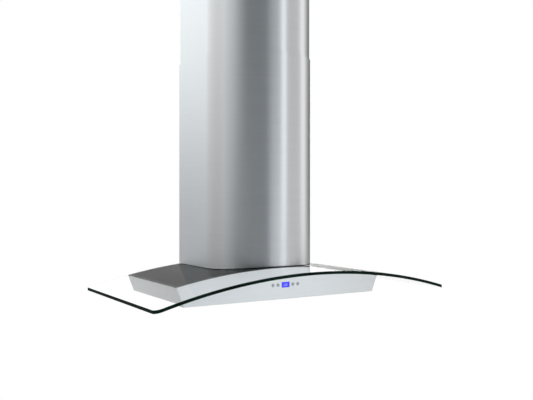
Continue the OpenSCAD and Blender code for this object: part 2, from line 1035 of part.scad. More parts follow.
// --- Filters --------------------------------------------------------------------

// Spring catches that hold the front edge of each filter
module filter_catches() {
    x = filter_in + filter_w / 2;
    color(zinc)
    for (s = [-1, 1])
        translate([s * x, filter_y0, panel_top]) {
            translate([-8, -14, 0])
                cube([16, 12, 12]);
            translate([0, -2.8, 8])
                sphere(r = 2.4, $fn = 32);
        }
}

// A frame of U section, open inwards, with a hinge pin at each end of its rear bar
module filter_frame(side) {
    x0 = side > 0 ? filter_in : -filter_in - filter_w;
    rail = 12;
    lip = 1;
    pin_l = filter_gap + ear_t + 0.2;
    color(steel)
    union() {
        difference() {
            span([x0, filter_y0, panel_z], [x0 + filter_w, filter_y0 + filter_d,
                panel_z + filter_h]);
            span([x0 + rail, filter_y0 + rail, panel_z - 1],
                [x0 + filter_w - rail, filter_y0 + filter_d - rail, panel_z + filter_h + 1]);
            span([x0 + 2, filter_y0 + 2, panel_z + lip],
                [x0 + filter_w - 2, filter_y0 + filter_d - 2, panel_z + filter_h - lip]);
        }
        for (x = [x0 - pin_l, x0 + filter_w - 1])
            translate([x, hinge_y, hinge_z])
                rotate([0, 90, 0])
                cylinder(r = hinge_r, h = pin_l + 1, $fn = 48);
    }
}

// A channel running front to back, 0.8 thick; up is 1 open upwards, -1 downwards
module baffle(x, z, width, depth, up) {
    t = 0.8;
    y0 = filter_y0 + 2.2;
    y1 = filter_y0 + filter_d - 2.2;
    floor_z = up > 0 ? z : z + depth - t;
    union() {
        span([x - width / 2, y0, floor_z], [x + width / 2, y1, floor_z + t]);
        for (s = [-1, 1])
            span([x + s * width / 2, y0, z], [x + s * (width / 2 - t), y1, z + depth]);
    }
}

module filter_baffles(side) {
    x0 = side > 0 ? filter_in : -filter_in - filter_w;
    pitch = (filter_w - 14) / channels;
    width = pitch * 0.64;
    color("#c3c8cc")
    for (i = [0:channels - 1]) {
        baffle(x0 + 7 + pitch * (i + 0.5), panel_z + 1.2, width, 8, 1);
        if (i > 0)
            baffle(x0 + 7 + pitch * i, panel_z + 10.6, width, 8, -1);
    }
}

module filter_knob(side) {
    x = side * (filter_in + filter_w / 2);
    color("#d5d9dc")
    translate([x, filter_y0 + 6, panel_z])
        union() {
            translate([0, 0, -6])
                cylinder(r = 2.5, h = 6, $fn = 32);
            translate([0, 0, -10])
                cylinder(r = 5.5, h = 4.5, $fn = 48);
        }
}

module filter_left_frame() { filter_frame(-1); }
module filter_left_baffles() { filter_baffles(-1); }
module filter_left_knob() { filter_knob(-1); }
module filter_right_frame() { filter_frame(1); }
module filter_right_baffles() { filter_baffles(1); }
module filter_right_knob() { filter_knob(1); }

ceiling_bracket();
bracket_bolts();
upper_posts();
upper_ties();
upper_cover();
upper_cover_back();
upper_cover_screws();
lower_posts();
lower_ties();
clamp_screws();
lower_cover();
lower_cover_back();
lower_cover_screws();
cover_clips();
glass_canopy();
glass_gasket();
glass_bushes();
glass_screws();
canopy_shell();
canopy_back();
canopy_top();
bottom_panel();
support_plate();
control_housing();
control_board();
tact_switches();
lcd_module();
display_window();
control_cable();
cable_grommet();
blower_box();
volute();
motor();
motor_bracket();
outlet_collar();
damper_rod();
junction_box();
junction_box_lid();
cable_gland();
capacitor();
lamp_bezels();
lamp_lenses();
lamp_housings();
filter_catches();
button_light();
button_less();
button_more();
button_power();
impeller();
motor_shaft();
damper_left();
damper_right();
filter_left_frame();
filter_left_baffles();
filter_left_knob();
filter_right_frame();
filter_right_baffles();
filter_right_knob();
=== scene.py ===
import math

import bpy
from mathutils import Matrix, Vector


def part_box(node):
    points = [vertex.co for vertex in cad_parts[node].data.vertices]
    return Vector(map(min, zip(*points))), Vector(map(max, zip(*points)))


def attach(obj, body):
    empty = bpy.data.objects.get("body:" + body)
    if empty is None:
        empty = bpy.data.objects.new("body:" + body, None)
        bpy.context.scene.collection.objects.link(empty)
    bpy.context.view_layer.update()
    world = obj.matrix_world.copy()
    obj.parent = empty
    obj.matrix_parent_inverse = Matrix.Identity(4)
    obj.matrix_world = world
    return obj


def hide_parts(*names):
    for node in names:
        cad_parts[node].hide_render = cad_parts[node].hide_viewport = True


bl_info = {
    "name": "Arched glass range hood",
    "version": (1, 0, 0),
    "blender": (4, 5, 0),
    "location": "3D View > Sidebar > Range hood",
    "description": "Finished pieces, materials and a studio for a range hood",
    "category": "Object",
}

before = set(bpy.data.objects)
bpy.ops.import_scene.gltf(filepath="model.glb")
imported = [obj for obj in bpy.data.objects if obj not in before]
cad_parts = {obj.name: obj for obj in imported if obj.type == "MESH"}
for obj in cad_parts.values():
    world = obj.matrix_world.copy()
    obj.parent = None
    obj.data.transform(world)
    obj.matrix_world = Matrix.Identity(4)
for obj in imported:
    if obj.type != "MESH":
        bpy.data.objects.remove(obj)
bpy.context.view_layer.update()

# Places read from the frame, in metres
COVER_LOW, COVER_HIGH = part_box("lower_cover")
UPPER_LOW, UPPER_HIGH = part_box("upper_cover")
GLASS_LOW, GLASS_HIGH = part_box("glass_canopy")
SHELL_LOW, SHELL_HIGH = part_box("canopy_shell")
WINDOW_LOW, WINDOW_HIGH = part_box("display_window")
BACK_Y = COVER_HIGH.y
BUTTONS = ("button_light", "button_less", "button_more", "button_power")

# Two places closer than this are one place, and a cutter reaches this far past its piece
NEAR = 5e-5
PAST = 0.05


# --- Sizes and colours a user would change ---------------------------------------


def length(name, text, default):
    """A size in metres that shows in the scene's own units."""
    return bpy.props.FloatProperty(
        name=name, description=text, default=default, min=0, unit="LENGTH", precision=4
    )


def colour(name, text, default):
    """A colour kept as its sRGB hex code."""
    return bpy.props.StringProperty(name=name, description=text, default=default)


class HoodSizes(bpy.types.PropertyGroup):
    arch_radius: length("Arch radius", "Radius at the middle of the glass", 1.6)
    glass_thickness: length("Glass thickness", "Thickness of the pane", 0.008)
    glass_corner: length("Glass corner", "Radius of the two front corners", 0.02)
    arris: length("Arris", "Width of the small chamfer ground on the glass", 0.0003)
    side_lean: bpy.props.FloatProperty(
        name="Side lean",
        description="Lean of the body's two side walls",
        default=math.radians(22.2),
        subtype="ANGLE",
    )
    body_sheet: length("Body sheet", "Thickness of the body's steel", 0.0012)
    body_rim: length("Rim", "Width of the rim turned in under the body", 0.008)
    body_bend: length("Body bend", "Outside radius of the body's folds", 0.0022)
    glass_hole: length("Glass hole", "Radius of the holes for the glass screws", 0.005)
    bush_flange: length("Bush flange", "Radius of the flange of the rubber bushes", 0.0085)
    glass_opening: length("Glass opening gap", "Gap round the plate in the opening", 0.003)
    glass_seat: length("Glass seat", "Thickness of the strip under the glass", 0.0015)
    cover_sheet: length("Cover sheet", "Thickness of the chimney's steel", 0.001)
    cover_bend: length("Cover bend", "Outside radius of the chimney's back folds", 0.002)
    cover_side: length("Flat side", "Depth of the chimney's flat sides", 0.182)
    cover_round: length("Round side", "Radius of the round front near each side", 0.13)
    cover_return: length("Return", "Width of the fold behind the chimney", 0.014)
    cover_gap: length("Cover gap", "Gap between the chimney and the glass", 0.0008)
    screw_in: length("Screw inset", "Distance of the back screws from the side", 0.008)
    screw_sink: length("Screw sink", "Radius of the countersink of the back screws", 0.0036)
    screw_hole: length("Screw hole", "Radius of the holes of the back screws", 0.0016)
    screw_head: length("Screw head", "Radius of the heads of the back screws", 0.0026)
    screw_depth: length("Screw depth", "Depth of that countersink", 0.002)
    wall_reach: length("Wall reach", "How far the cutters of the front wall reach", 0.005)
    button_cap: length("Button cap", "Length of a button in front of its stem", 0.0062)
    button_stem: length("Button stem", "Radius of a button's stem", 0.003)
    button_edge: length("Button edge", "Radius of the rounded rim of a button", 0.0006)
    button_gap: length("Button gap", "Gap round each button", 0.0003)
    button_dish: length("Button dish", "Depth of the hollow in a button", 0.00025)
    window_edge: length("Window edge", "Chamfer of the display window", 0.0005)
    window_rim: length("Window rim", "Width of the rim round the display", 0.0009)
    window_step: length("Window step", "Depth of the display behind its rim", 0.0006)
    window_gap: length("Window gap", "Gap round the display window", 0.00015)
    bar_pitch: length("Bar pitch", "Distance between the display's bars", 0.0032)
    bar_width: length("Bar width", "Width of one bar", 0.0018)
    bar_foot: length("Bar foot", "From the display's middle down to the bars", 0.0035)
    bar_short: length("Shortest bar", "Height of the first bar", 0.002)
    bar_rise: length("Bar rise", "Growth from one bar to the next", 0.0012)
    bar_proud: length("Bar relief", "How far the bars stand out", 0.0002)
    bar_edge: length("Bar edge", "Radius of a bar's corners", 0.0004)
    lamp_edge: length("Lamp ring edge", "Radius of the edge of the lamp rings", 0.0005)
    knob_head: length("Knob head", "Height of a filter knob's head", 0.0045)
    knob_stem: length("Knob stem", "Radius of a filter knob's stem", 0.0025)
    knob_edge: length("Knob edge", "Radius of the rounded rim of a knob", 0.0008)
    knob_rim: length("Knob rim", "Width of the rim round the hollow of a knob", 0.0012)
    knob_dish: length("Knob dish", "Depth of the hollow in a knob", 0.0005)
    lens_gap: length("Lens gap", "Gap round each lamp lens", 0.0002)
    lens_relief: length("Lens relief", "Height of one ring moulded in the lens", 0.0005)
    lens_ring: length("Lens ring", "Width of one ring moulded in the lamp lens", 0.0026)


class HoodColours(bpy.types.PropertyGroup):
    steel: colour("Stainless steel", "Reflected colour of the brushed steel", "#d3d5d6")
    zinc: colour("Zinc", "Galvanised sheet", "#b4b9bc")
    enamel: colour("Enamel", "Black top of the body", "#0c0e0e")
    # Painted shade of the glass edge: near black, with greener stretches painted dark green
    glass_edge: colour("Glass edge", "Ground edge seen end on", "#030605")
    glass_edge_green_shade: colour("Glass edge tint", "Greener stretches of the edge", "#0d2c20")
    rubber: colour("Rubber", "Strip, bushes and cable", "#17181a")
    black_plastic: colour("Black plastic", "Moulded ABS parts", "#202224")
    grey_plastic: colour("Grey plastic", "Junction box", "#cfd1cc")
    board: colour("Circuit board", "Green solder mask", "#2f6b45")
    backlight: colour("Backlight", "Lit ground of the display", "#1a1ad8")
    backlight_mid: colour("Backlight middle", "Brighter middle of the display", "#4a55f2")
    button: colour("Buttons", "Satin aluminium", "#a9adb1")
    motor: colour("Motor paint", "Dark stoved paint", "#43474b")
    lens: colour("Lamp lens", "Frosted lens", "#eef1f2")
    capacitor: colour("Capacitor", "Moulded can", "#e2e2dc")


class StudioSettings(bpy.types.PropertyGroup):
    camera_place: bpy.props.FloatVectorProperty(
        name="Camera place",
        description="Where the camera stands",
        default=(-1.0472, -1.8087, -0.8114),
        subtype="XYZ",
        unit="LENGTH",
    )
    camera_turn: bpy.props.FloatProperty(
        name="Camera turn",
        description="Turn of the level camera away from the back wall",
        default=0.55,
        subtype="ANGLE",
    )
    camera_lens: bpy.props.FloatProperty(
        name="Focal length", description="On a 36 mm sensor", default=46.79, unit="CAMERA"
    )
    floor_drop: length("Floor drop", "Distance from the ceiling to the floor", 2.6)
    floor_reach: length("Floor size", "Side of the square floor", 5.0)


def sizes():
    return bpy.context.scene.hood_sizes


def tint(name):
    return linear(getattr(bpy.context.scene.hood_colours, name))


# --- Nodes ------------------------------------------------------------------------


def linear(code):
    """An sRGB hex colour as linear red, green, blue and alpha."""
    parts = [int(code[i : i + 2], 16) / 255 for i in (1, 3, 5)]
    flat = [p / 12.92 if p <= 0.04045 else ((p + 0.055) / 1.055) ** 2.4 for p in parts]
    return (*flat, 1)


def add(tree, kind, inputs=None, **settings):
    """Adds a node, sets it, and fills or links its inputs."""
    made = tree.nodes.new(kind)
    for name, value in settings.items():
        setattr(made, name, value)
    for name, value in (inputs or {}).items():
        if isinstance(value, bpy.types.NodeSocket):
            tree.links.new(value, made.inputs[name])
        else:
            made.inputs[name].default_value = value
    return made


def fill_ramp(ramp, stops):
    """Gives a colour ramp its stops, each a position and a grey or a colour."""
    elements = ramp.color_ramp.elements
    while len(elements) < len(stops):
        elements.new(1)
    for element, (position, value) in zip(elements, stops):
        element.position = position
        element.color = (value, value, value, 1) if isinstance(value, float) else value


def surface(name, **inputs):
    """A new material with a Principled surface, which is returned with its tree."""
    material = bpy.data.materials.new(name)
    material.use_nodes = True
    tree = material.node_tree
    shader = tree.nodes["Principled BSDF"]
    for socket, value in inputs.items():
        shader.inputs[socket.replace("_", " ")].default_value = value
    return material, tree, shader


def speckle(tree, scale, detail=3.0, stretch=(1, 1, 1)):
    """Noise over the piece's own coordinates, in features per metre."""
    place = add(tree, "ShaderNodeTexCoord")
    mapping = add(
        tree, "ShaderNodeMapping", {"Vector": place.outputs["Object"], "Scale": stretch}
    )
    return add(
        tree,
        "ShaderNodeTexNoise",
        {"Vector": mapping.outputs["Vector"], "Scale": scale, "Detail": detail},
    ).outputs["Fac"]


def spread(tree, value, low, high):
    """Maps the middle of a noise to a range of numbers."""
    return add(
        tree,
        "ShaderNodeMapRange",
        {"Value": value, "From Min": 0.3, "From Max": 0.7, "To Min": low, "To Max": high},
    ).outputs["Result"]


def shade(tree, value, low, high):
    """Mixes two colours by a value."""
    return add(
        tree,
        "ShaderNodeMix",
        {"Factor": value, 6: low, 7: high},
        data_type="RGBA",
    ).outputs[2]


def roughen(tree, shader, height, strength, distance):
    """Small relief on the surface."""
    bump = add(
        tree,
        "ShaderNodeBump",
        {"Height": height, "Strength": strength, "Distance": distance},
    )
    tree.links.new(bump.outputs["Normal"], shader.inputs["Normal"])


# --- Materials --------------------------------------------------------------------


def brushed_stainless(name, axis, grain):
    """Grade 304 sheet, brushed with a fine belt. Highlights spread across the grain.

    axis is what the grain runs round, and grain how long and how fine it is along X, Y, Z.
    The lines are really about 0.1 mm apart and are drawn 3 mm apart, so that they show.
    """
    steel = tint("steel")
    material, tree, shader = surface(
        name, Metallic=1.0, Anisotropic=0.85, Anisotropic_Rotation=0.25
    )
    lines = speckle(tree, 1.0, 4.0, grain)
    darker = [c * 0.96 for c in steel[:3]] + [1]
    colour_out = shade(tree, spread(tree, lines, 0.0, 1.0), darker, steel)
    rough = spread(tree, lines, 0.29, 0.33)
    tangent = add(tree, "ShaderNodeTangent", direction_type="RADIAL", axis=axis)
    tree.links.new(colour_out, shader.inputs["Base Color"])
    tree.links.new(rough, shader.inputs["Roughness"])
    tree.links.new(tangent.outputs["Tangent"], shader.inputs["Tangent"])
    return material


def galvanised():
    """Hot-dipped zinc on sheet: dull, with crystals about 8 mm across."""
    zinc = tint("zinc")
    material, tree, shader = surface("galvanised_sheet", Metallic=1.0)
    place = add(tree, "ShaderNodeTexCoord")
    crystals = add(
        tree,
        "ShaderNodeTexVoronoi",
        {"Vector": place.outputs["Object"], "Scale": 120.0},
    )
    grey = add(tree, "ShaderNodeRGBToBW", {"Color": crystals.outputs["Color"]})
    darker = [c * 0.72 for c in zinc[:3]] + [1]
    tree.links.new(shade(tree, grey.outputs["Val"], darker, zinc), shader.inputs["Base Color"])
    tree.links.new(spread(tree, grey.outputs["Val"], 0.34, 0.52), shader.inputs["Roughness"])
    return material


def zinc_plated():
    """Bright zinc plating on screws, slightly blue."""
    return surface("zinc_plating", Base_Color=linear("#c3c9cf"), Metallic=1.0, Roughness=0.3)[0]


def turned_metal(name, code, rough):
    """Metal turned on a lathe, drawn with an even colour and roughness and without its rings."""
    return surface(name, Base_Color=linear(code), Metallic=1.0, Roughness=rough)[0]


def stoved_enamel():
    """Matt black stoved enamel on the body's top. The gloss seen on it is the glass above."""
    material, tree, shader = surface(
        "black_enamel", Base_Color=tint("enamel"), Roughness=0.6, Specular_IOR_Level=0.0
    )
    # Orange peel, drawn coarser than it is so that it doesn't shimmer from a distance
    roughen(tree, shader, speckle(tree, 120.0, 1.0), 0.04, 0.0002)
    return material


def clear_glass():
    """Toughened clear float glass with an anti-glare coat, so it reflects only a little."""
    material, tree, shader = surface(
        "clear_float_glass",
        Base_Color=(1, 1, 1, 1),
        Roughness=0.0,
        IOR=1.5,
        Transmission_Weight=1.0,
    )
    mirror_share = 0.17
    coat = add(
        tree, "ShaderNodeBsdfRefraction", {"Color": (1, 1, 1, 1), "Roughness": 0.0, "IOR": 1.5}
    )
    both = add(
        tree,
        "ShaderNodeMixShader",
        {0: mirror_share, 1: coat.outputs[0], 2: shader.outputs[0]},
    )
    output = tree.nodes["Material Output"]
    tree.links.new(both.outputs[0], output.inputs["Surface"])
    return material


def painted_shade_glass_edge():
    """The pane's ground edge, as painted shade. Light comes out dark green after a long way
    through it, so the edge is painted near black with greener patches.

    From inside the pane the edge is clear, so that it doesn't darken what the pane refracts.
    """
    material, tree, shader = surface("painted_shade_glass_edge", Roughness=0.6, Specular_IOR_Level=0.05)
    # Painted shade: near black mixed in patches with dark green
    patches = spread(tree, speckle(tree, 9.0, 1.0), 0.0, 1.0)
    mixed = shade(tree, patches, tint("glass_edge"), tint("glass_edge_green_shade"))
    tree.links.new(mixed, shader.inputs["Base Color"])
    side = add(tree, "ShaderNodeNewGeometry")
    seen = add(
        tree,
        "ShaderNodeMath",
        {0: 1.0, 1: side.outputs["Backfacing"]},
        operation="SUBTRACT",
    )
    tree.links.new(seen.outputs["Value"], shader.inputs["Alpha"])
    return material


def rubber():
    """EPDM rubber: matt, nearly black."""
    return surface("epdm_rubber", Base_Color=tint("rubber"), Roughness=0.75)[0]


def moulded(name, code, rough):
    """Moulded plastic with a fine spark-eroded grain, 0.5 mm."""
    material, tree, shader = surface(name, Base_Color=code, Roughness=rough)
    roughen(tree, shader, speckle(tree, 2000.0, 2.0), 0.2, 0.0001)
    return material


def circuit_board():
    """Glass-epoxy board with a green solder mask."""
    material, tree, shader = surface("solder_mask", Roughness=0.3)
    base = tint("board")
    darker = [c * 0.7 for c in base[:3]] + [1]
    tracks = spread(tree, speckle(tree, 260.0, 0.0), 0.0, 1.0)
    tree.links.new(shade(tree, tracks, darker, base), shader.inputs["Base Color"])
    return material


def backlit_display(centre, reach):
    """Backlit liquid crystal behind clear acrylic, brighter in the middle."""
    material, tree, shader = surface(
        "backlit_display", Roughness=0.15, Coat_Weight=0.6, Emission_Strength=0.75
    )
    place = add(tree, "ShaderNodeTexCoord")
    mapping = add(
        tree,
        "ShaderNodeMapping",
        {
            "Vector": place.outputs["Object"],
            "Location": centre,
            "Scale": reach,
        },
        vector_type="TEXTURE",
    )
    away = add(
        tree,
        "ShaderNodeTexGradient",
        {"Vector": mapping.outputs["Vector"]},
        gradient_type="SPHERICAL",
    )
    glow = shade(tree, away.outputs["Fac"], tint("backlight"), tint("backlight_mid"))
    tree.links.new(glow, shader.inputs["Base Color"])
    tree.links.new(glow, shader.inputs["Emission Color"])
    return material


def frosted_lens():
    """Frosted polycarbonate lens, lamp off."""
    return surface(
        "frosted_polycarbonate",
        Base_Color=tint("lens"),
        Roughness=0.5,
        IOR=1.58,
        Transmission_Weight=0.35,
    )[0]


def hammered_paint():
    """Stoved paint on the motor, with an orange-peel surface of 2 mm."""
    material, tree, shader = surface("motor_paint", Base_Color=tint("motor"), Roughness=0.4)
    roughen(tree, shader, speckle(tree, 500.0, 1.0), 0.25, 0.0003)
    return material


# --- Modelling --------------------------------------------------------------------


def select_only(piece):
    bpy.ops.object.select_all(action="DESELECT")
    piece.select_set(True)
    bpy.context.view_layer.objects.active = piece


def settle(piece, name):
    """Names a new primitive and moves its place, turn and scale into its mesh."""
    piece.name = name
    select_only(piece)
    bpy.ops.object.transform_apply(location=True, rotation=True, scale=True)
    return piece


def box(name, low, high):
    bpy.ops.object.select_all(action="DESELECT")
    low, high = Vector(low), Vector(high)
    bpy.ops.mesh.primitive_cube_add(size=1, location=(low + high) / 2, scale=high - low)
    return settle(bpy.context.object, name)


def sheet(name, width, height, centre, turn):
    bpy.ops.object.select_all(action="DESELECT")
    bpy.ops.mesh.primitive_plane_add(size=1, location=centre, rotation=turn)
    bpy.context.object.scale = (width, height, 1)
    return settle(bpy.context.object, name)


def rod(name, centre, radius, depth, turn=(0, 0, 0), sides=96, tip=None):
    """A cylinder, or a cone when it has a tip radius."""
    bpy.ops.object.select_all(action="DESELECT")
    bpy.ops.mesh.primitive_cone_add(
        vertices=sides,
        radius1=radius,
        radius2=radius if tip is None else tip,
        depth=depth,
        location=centre,
        rotation=turn,
    )
    return settle(bpy.context.object, name)


def edit(piece, kind, test):
    """Opens edit mode with just the faces, edges or vertices that pass the test."""
    select_only(piece)
    mesh = piece.data
    for parts in (mesh.vertices, mesh.edges, mesh.polygons):
        parts.foreach_set("select", [False] * len(parts))
    if kind == "FACE":
        for face in mesh.polygons:
            face.select = test(face.center, face.normal)
    elif kind == "EDGE":
        for edge in mesh.edges:
            start, end = (mesh.vertices[i].co for i in edge.vertices)
            edge.select = test((start + end) / 2, (end - start).normalized())
    else:
        for vertex in mesh.vertices:
            vertex.select = test(vertex.co, vertex.normal)
    bpy.context.tool_settings.mesh_select_mode = [kind == k for k in ("VERT", "EDGE", "FACE")]
    bpy.ops.object.mode_set(mode="EDIT")


def close_edit():
    bpy.ops.object.mode_set(mode="OBJECT")


def extrude(move):
    bpy.ops.mesh.extrude_region_move(TRANSFORM_OT_translate={"value": move})


def bevel(width, steps=3):
    bpy.ops.mesh.bevel(
        offset=width, offset_type="OFFSET", segments=steps, affect="EDGES", clamp_overlap=True
    )


def modify(piece, kind, **settings):
    """Adds a modifier and applies it."""
    select_only(piece)
    modifier = piece.modifiers.new(kind.lower(), kind)
    for name, value in settings.items():
        setattr(modifier, name, value)
    bpy.ops.object.modifier_apply(modifier=modifier.name)


def cut(piece, cutter, operation="DIFFERENCE"):
    modify(piece, "BOOLEAN", object=cutter, operation=operation, solver="EXACT")
    bpy.data.objects.remove(cutter)


def face_outwards(piece):
    edit(piece, "FACE", lambda centre, normal: True)
    bpy.ops.mesh.remove_doubles(threshold=1e-6)
    bpy.ops.mesh.normals_make_consistent(inside=False)
    close_edit()


def finish(piece, body, material, slot, *nodes):
    """Smooths a piece, gives it its material, and puts it on its body."""
    select_only(piece)
    bpy.ops.object.shade_smooth_by_angle(angle=math.radians(35))
    modify(piece, "WEIGHTED_NORMAL", mode="FACE_AREA", keep_sharp=True)
    if not piece.data.materials:
        piece.data.materials.append(material)
    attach(piece, body)
    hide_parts(*nodes)
    return piece


def arch_cylinder(radius):
    """A cylinder on the arch's axis, which runs front to back under the hood."""
    s = sizes()
    axis_z = GLASS_HIGH.z - s.glass_thickness / 2 - s.arch_radius
    reach = 1.2
    return rod("arch", (0, 0, axis_z), radius, reach, (math.pi / 2, 0, 0), sides=720)


# --- Glass canopy -----------------------------------------------------------------


class HOOD_OT_glass(bpy.types.Operator):
    """Models the arched pane with its ground and chamfered edge"""

    bl_idname = "hood.glass"
    bl_label = "Glass canopy"

    def execute(self, context):
        s = sizes()
        middle_z = GLASS_HIGH.z - s.glass_thickness / 2
        depth = GLASS_HIGH.y - GLASS_LOW.y
        centre = Vector((0, (GLASS_LOW.y + GLASS_HIGH.y) / 2, middle_z))
        pane = sheet(
            "glass_pane",
            s.glass_thickness,
            depth + 2 * PAST,
            centre,
            (0, math.pi / 2, 0),
        )
        sweep = math.asin(GLASS_HIGH.x / s.arch_radius) + math.radians(1)
        edit(pane, "FACE", lambda c, n: True)
        bpy.ops.mesh.delete(type="ONLY_FACE")
        bpy.ops.mesh.select_all(action="SELECT")
        bpy.ops.mesh.spin(
            steps=56,
            angle=sweep,
            center=(0, 0, middle_z - s.arch_radius),
            axis=(0, 1, 0),
        )
        bpy.ops.mesh.edge_face_add()
        close_edit()
        modify(pane, "MIRROR", use_axis=(True, False, False), merge_threshold=1e-5)
        face_outwards(pane)
        plan = box(
            "plan",
            (GLASS_LOW.x, GLASS_LOW.y, GLASS_LOW.z - PAST),
            (GLASS_HIGH.x, GLASS_HIGH.y, GLASS_HIGH.z + PAST),
        )
        edit(plan, "EDGE", lambda c, d: abs(d.z) > 0.9 and c.y < 0)
        bevel(s.glass_corner, 20)
        close_edit()
        cut(pane, plan, "INTERSECT")
        edit(pane, "EDGE", lambda c, d: False)
        bpy.ops.mesh.edges_select_sharp(sharpness=math.radians(50))
        bevel(s.arris, 2)
        close_edit()
        plate_low, plate_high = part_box("support_plate")
        gap = Vector((s.glass_opening, s.glass_opening, PAST))
        cut(pane, box("opening", plate_low - gap, plate_high + gap))
        bush_low, bush_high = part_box("glass_bushes")
        bush = s.bush_flange
        for x in (bush_low.x + bush, bush_high.x - bush):
            for y in (bush_low.y + bush, bush_high.y - bush):
                cut(pane, rod("hole", (x, y, middle_z), s.glass_hole, 2 * PAST, sides=32))
        finish(pane, "hood", clear_glass(), "clear_glass", "glass_canopy")
        # The pane's edge faces get the painted shade of the glass edge
        pane.data.materials.append(painted_shade_glass_edge())
        edge = s.arris * 1.5
        for face in pane.data.polygons:
            c = face.center
            outer = (
                c.y < GLASS_LOW.y + edge
                or c.y > GLASS_HIGH.y - edge
                or abs(c.x) > GLASS_HIGH.x - edge
                or (
                    abs(c.x) > GLASS_HIGH.x - s.glass_corner
                    and c.y < GLASS_LOW.y + s.glass_corner
                    and math.hypot(
                        abs(c.x) - GLASS_HIGH.x + s.glass_corner,
                        c.y - GLASS_LOW.y - s.glass_corner,
                    )
                    > s.glass_corner - edge
                )
            )
            if outer and abs(face.normal.z) < 0.95:
                face.material_index = 1
        return {"FINISHED"}


# --- Chimney ----------------------------------------------------------------------


def chimney_wrap(name, inset, low_z, high_z):
    """Folds and rolls one cover from a strip at the left rear round to the right rear."""
    s = sizes()
    half = COVER_HIGH.x - inset
    rear = BACK_Y - inset
    side_y = BACK_Y - s.cover_side
    round_x = COVER_HIGH.x - s.cover_round
    bulge = side_y - COVER_LOW.y
    front_r = (round_x**2 + bulge**2 - s.cover_round**2) / (2 * (bulge - s.cover_round))
    front_y = COVER_LOW.y + front_r
    side_turn = math.atan2(front_y - side_y, round_x)
    front_turn = math.pi - 2 * side_turn
    height = high_z - low_z
    start = Vector((-half + s.cover_return / 2, rear, (low_z + high_z) / 2))
    wrap = sheet(name, s.cover_return, height, start, (math.pi / 2, 0, 0))
    edit(wrap, "EDGE", lambda c, d: abs(d.z) > 0.9 and c.x < -half + NEAR)
    extrude((0, side_y - rear, 0))
    up = (0, 0, 1)
    bpy.ops.mesh.spin(steps=18, angle=-side_turn, center=(-round_x, side_y, 0), axis=up)
    bpy.ops.mesh.spin(steps=48, angle=-front_turn, center=(0, front_y, 0), axis=up)
    bpy.ops.mesh.spin(steps=18, angle=-side_turn, center=(round_x, side_y, 0), axis=up)
    extrude((0, rear - side_y, 0))
    extrude((-s.cover_return, 0, 0))
    close_edit()
    face_outwards(wrap)
    if min(wrap.data.polygons, key=lambda f: f.center.y).normal.y > 0:
        edit(wrap, "FACE", lambda c, n: True)
        bpy.ops.mesh.flip_normals()
        close_edit()
    edit(
        wrap,
        "EDGE",
        lambda c, d: abs(d.z) > 0.9 and c.y > rear - NEAR and abs(c.x) > half - NEAR,
    )
    bevel(s.cover_bend, 4)
    close_edit()
    modify(wrap, "SOLIDIFY", thickness=s.cover_sheet, offset=-1, use_even_offset=True)
    return wrap


class HOOD_OT_chimney(bpy.types.Operator):
    """Models the two rolled covers of the chimney"""

    bl_idname = "hood.chimney"
    bl_label = "Chimney covers"

    def execute(self, context):
        s = sizes()
        steel = brushed_stainless("brushed_stainless_cover", "Z", (7, 7, 330))
        lower = chimney_wrap("lower_cover_wrap", 0, COVER_LOW.z - PAST, COVER_HIGH.z)
        under = s.arch_radius + s.glass_thickness / 2 + s.cover_gap
        cut(lower, arch_cylinder(under))
        screws_low, screws_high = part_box("lower_cover_screws")
        head = s.screw_head
        for x in (-1, 1):
            for z in (screws_low.z + head, screws_high.z - head):
                sink = rod(
                    "sink",
                    (x * (COVER_HIGH.x - s.screw_in), BACK_Y, z),
                    s.screw_sink,
                    s.screw_depth,
                    (math.pi / 2, 0, 0),
                    32,
                    s.screw_hole,
                )
                cut(lower, sink)
        finish(lower, "hood", steel, "stainless", "lower_cover")
        step = COVER_HIGH.x - UPPER_HIGH.x
        upper = chimney_wrap("upper_cover_wrap", step, UPPER_LOW.z, UPPER_HIGH.z)
        finish(upper, "ceiling_mount", steel, "stainless", "upper_cover")
        return {"FINISHED"}


# --- Body -------------------------------------------------------------------------


